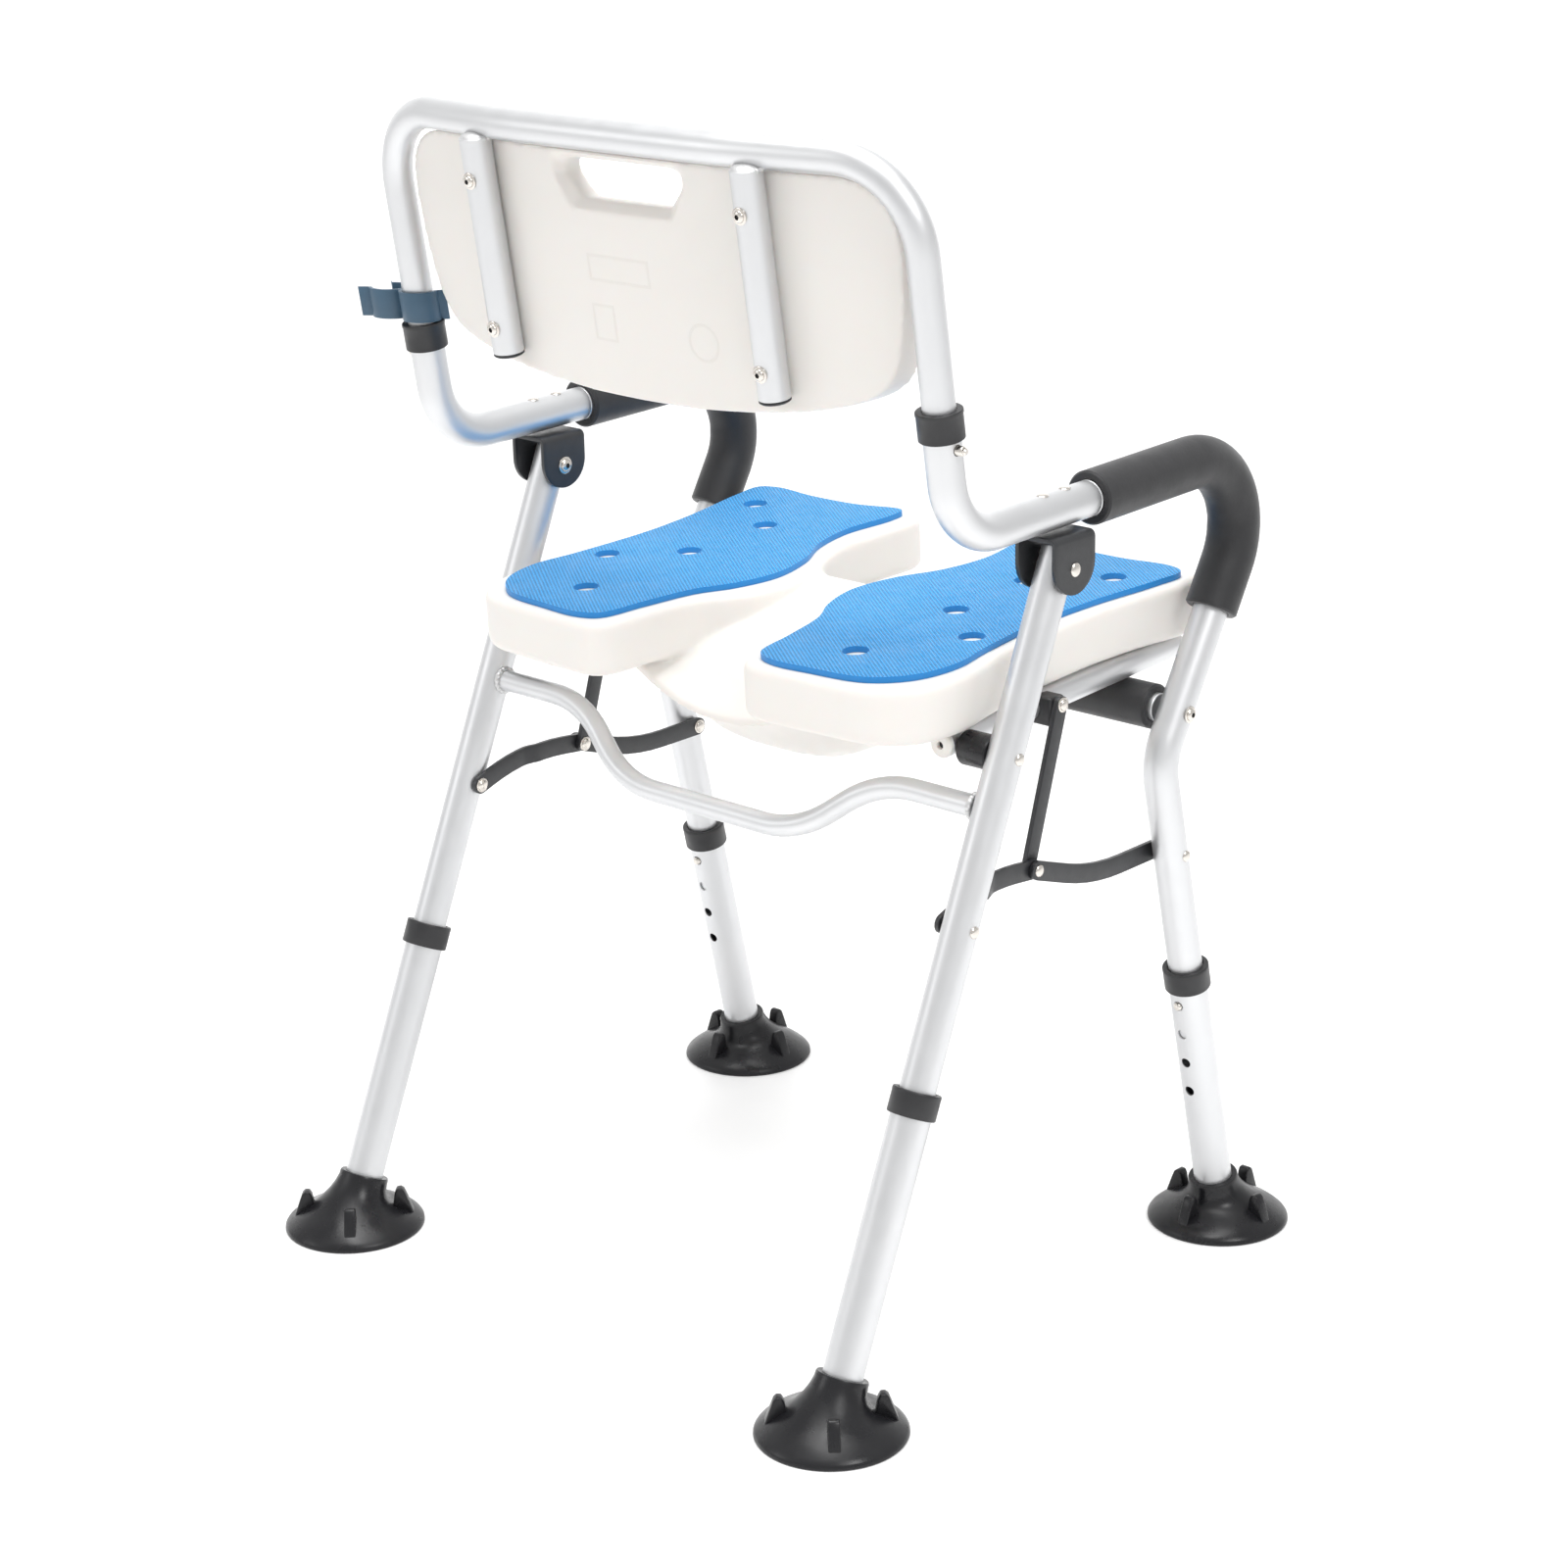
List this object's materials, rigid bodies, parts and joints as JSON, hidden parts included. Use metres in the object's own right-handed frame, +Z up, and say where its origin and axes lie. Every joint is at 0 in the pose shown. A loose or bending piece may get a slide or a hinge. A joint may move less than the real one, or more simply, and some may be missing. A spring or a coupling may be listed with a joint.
{
  "type": "folding shower chair",
  "caption": "Folding shower chair with foam armrests, split padded seat, lift-out moulded backrest, telescopic legs with snap buttons, and suction feet.",
  "frame": {"origin": "centre of the feet on the floor", "axes": "+Z up, the sitter faces -Y, the sitter's right is -X"},
  "size_m": [0.602, 0.548, 0.8538],
  "materials": {
    "aluminium": "satin anodised tube",
    "steel": "nickel plated fasteners",
    "cream_plastic": "blow moulded, fine matt grain",
    "blue_pad": "ribbed closed-cell foam",
    "black_plastic": "moulded collars and saddles",
    "black_steel": "satin black powder coat",
    "black_foam": "soft foam tube",
    "black_rubber": "matt moulded rubber",
    "blue_clip": "slate blue moulded clip"
  },
  "bodies": {
    "front_frame": {"elbow_tube_R": "aluminium", "elbow_tube_L": "aluminium", "socket_collar_R": "black_plastic", "socket_collar_L": "black_plastic", "front_leg_R": "aluminium", "front_leg_L": "aluminium", "arm_grip_R": "black_foam", "arm_grip_L": "black_foam", "arm_bracket_R": "black_steel", "arm_bracket_L": "black_steel", "arm_pivot_bolt_R": "steel", "arm_pivot_bolt_L": "steel", "seat_hinge_bolt_R": "steel", "seat_hinge_bolt_L": "steel"},
    "rear_frame": {"rear_leg_R": "aluminium", "rear_leg_L": "aluminium", "rear_cross_bar": "aluminium", "seat_stop_R": "black_rubber", "seat_stop_L": "black_rubber"},
    "seat": {"seat_shell": "cream_plastic", "seat_pad_R": "blue_pad", "seat_pad_L": "blue_pad", "seat_rail_R": "aluminium", "seat_rail_L": "aluminium", "rail_plug_R": "cream_plastic", "rail_plug_L": "cream_plastic", "rail_saddle_R": "black_plastic", "rail_saddle_L": "black_plastic", "front_cross_tube": "aluminium", "foam_roll": "black_foam"},
    "front_strut_R": {"front_strut_R": "black_steel"},
    "rear_strut_R": {"rear_strut_R": "black_steel"},
    "lift_link_R": {"lift_link_R": "black_steel"},
    "front_strut_L": {"front_strut_L": "black_steel"},
    "rear_strut_L": {"rear_strut_L": "black_steel"},
    "lift_link_L": {"lift_link_L": "black_steel"},
    "leg_rear_R": {"leg_sleeve_rear_R": "aluminium", "leg_collar_rear_R": "black_plastic", "suction_foot_rear_R": "black_rubber"},
    "button_rear_R": {"snap_button_rear_R": "steel"},
    "leg_rear_L": {"leg_sleeve_rear_L": "aluminium", "leg_collar_rear_L": "black_plastic", "suction_foot_rear_L": "black_rubber"},
    "button_rear_L": {"snap_button_rear_L": "steel"},
    "leg_front_R": {"leg_sleeve_front_R": "aluminium", "leg_collar_front_R": "black_plastic", "suction_foot_front_R": "black_rubber"},
    "button_front_R": {"snap_button_front_R": "steel"},
    "leg_front_L": {"leg_sleeve_front_L": "aluminium", "leg_collar_front_L": "black_plastic", "suction_foot_front_L": "black_rubber"},
    "button_front_L": {"snap_button_front_L": "steel"},
    "backrest": {"back_tube": "aluminium", "back_support_R": "aluminium", "back_support_L": "aluminium", "back_panel": "cream_plastic"},
    "back_button_R": {"back_button_R": "steel"},
    "back_button_L": {"back_button_L": "steel"},
    "hose_clip": {"hose_clip_L": "blue_clip"}
  },
  "joints": [
    {"name": "seat_fold", "type": "hinge", "parent": "front_frame", "child": "seat", "pos_m": [0, -0.155, 0.421], "axis": [1, 0, 0], "range_deg": [0, 44.4]},
    {"name": "rear_leg_fold", "type": "hinge", "parent": "front_frame", "child": "rear_frame", "pos_m": [0, -0.0164, 0.557], "axis": [1, 0, 0], "range_deg": [-26.1, 0]},
    {"name": "front_strut_hinge_R", "type": "hinge", "parent": "front_frame", "child": "front_strut_R", "pos_m": [-0.2475, -0.1543, 0.314], "axis": [1, 0, 0], "range_deg": [0, 32.6]},
    {"name": "rear_strut_hinge_R", "type": "hinge", "parent": "rear_frame", "child": "rear_strut_R", "pos_m": [-0.2475, 0.084, 0.325], "axis": [1, 0, 0], "range_deg": [-46.1, 0]},
    {"name": "lift_link_hinge_R", "type": "hinge", "parent": "seat", "child": "lift_link_R", "pos_m": [-0.2475, -0.053, 0.446], "axis": [1, 0, 0], "range_deg": [-37, 0]},
    {"name": "front_strut_hinge_L", "type": "hinge", "parent": "front_frame", "child": "front_strut_L", "pos_m": [0.2475, -0.1543, 0.314], "axis": [1, 0, 0], "range_deg": [0, 32.6]},
    {"name": "rear_strut_hinge_L", "type": "hinge", "parent": "rear_frame", "child": "rear_strut_L", "pos_m": [0.2475, 0.084, 0.325], "axis": [1, 0, 0], "range_deg": [-46.1, 0]},
    {"name": "lift_link_hinge_L", "type": "hinge", "parent": "seat", "child": "lift_link_L", "pos_m": [0.2475, -0.053, 0.446], "axis": [1, 0, 0], "range_deg": [-37, 0]},
    {"name": "leg_height_rear_R", "type": "slide", "parent": "rear_frame", "child": "leg_rear_R", "axis": [0, -0.3975, 0.9176], "range_m": [0, 0.075]},
    {"name": "button_press_rear_R", "type": "slide", "parent": "rear_frame", "child": "button_rear_R", "axis": [0, 0.9176, 0.3975], "range_m": [0, 0.004], "stiffness_N_per_m": 400, "springref_m": -0.002},
    {"name": "leg_height_rear_L", "type": "slide", "parent": "rear_frame", "child": "leg_rear_L", "axis": [0, -0.3975, 0.9176], "range_m": [0, 0.075]},
    {"name": "button_press_rear_L", "type": "slide", "parent": "rear_frame", "child": "button_rear_L", "axis": [0, 0.9176, 0.3975], "range_m": [0, 0.004], "stiffness_N_per_m": 400, "springref_m": -0.002},
    {"name": "leg_height_front_R", "type": "slide", "parent": "front_frame", "child": "leg_front_R", "axis": [0, 0.2153, 0.9766], "range_m": [0, 0.075]},
    {"name": "button_press_front_R", "type": "slide", "parent": "front_frame", "child": "button_front_R", "axis": [0, -0.9766, 0.2153], "range_m": [0, 0.004], "stiffness_N_per_m": 400, "springref_m": -0.002},
    {"name": "leg_height_front_L", "type": "slide", "parent": "front_frame", "child": "leg_front_L", "axis": [0, 0.2153, 0.9766], "range_m": [0, 0.075]},
    {"name": "button_press_front_L", "type": "slide", "parent": "front_frame", "child": "button_front_L", "axis": [0, -0.9766, 0.2153], "range_m": [0, 0.004], "stiffness_N_per_m": 400, "springref_m": -0.002},
    {"name": "backrest_lift", "type": "slide", "parent": "front_frame", "child": "backrest", "axis": [0, 0.1482, 0.989], "range_m": [0, 0.05]},
    {"name": "back_button_press_R", "type": "slide", "parent": "front_frame", "child": "back_button_R", "axis": [1, 0, 0], "range_m": [0, 0.004], "stiffness_N_per_m": 400, "springref_m": -0.002},
    {"name": "back_button_press_L", "type": "slide", "parent": "front_frame", "child": "back_button_L", "axis": [-1, 0, 0], "range_m": [0, 0.004], "stiffness_N_per_m": 400, "springref_m": -0.002},
    {"name": "hose_clip_turn", "type": "hinge", "parent": "backrest", "child": "hose_clip", "pos_m": [0.2475, 0.10357, 0.6855], "axis": [0, 0.1482, 0.989], "range_deg": [-90, 40]}
  ],
  "couplings": [
    {"joint": "rear_leg_fold", "follows": "seat_fold", "ratio": -0.5856},
    {"joint": "front_strut_hinge_R", "follows": "seat_fold", "ratio": 0.729},
    {"joint": "rear_strut_hinge_R", "follows": "seat_fold", "ratio": -1.0348},
    {"joint": "lift_link_hinge_R", "follows": "seat_fold", "ratio": -0.8294},
    {"joint": "front_strut_hinge_L", "follows": "seat_fold", "ratio": 0.729},
    {"joint": "rear_strut_hinge_L", "follows": "seat_fold", "ratio": -1.0348},
    {"joint": "lift_link_hinge_L", "follows": "seat_fold", "ratio": -0.8294}
  ]
}
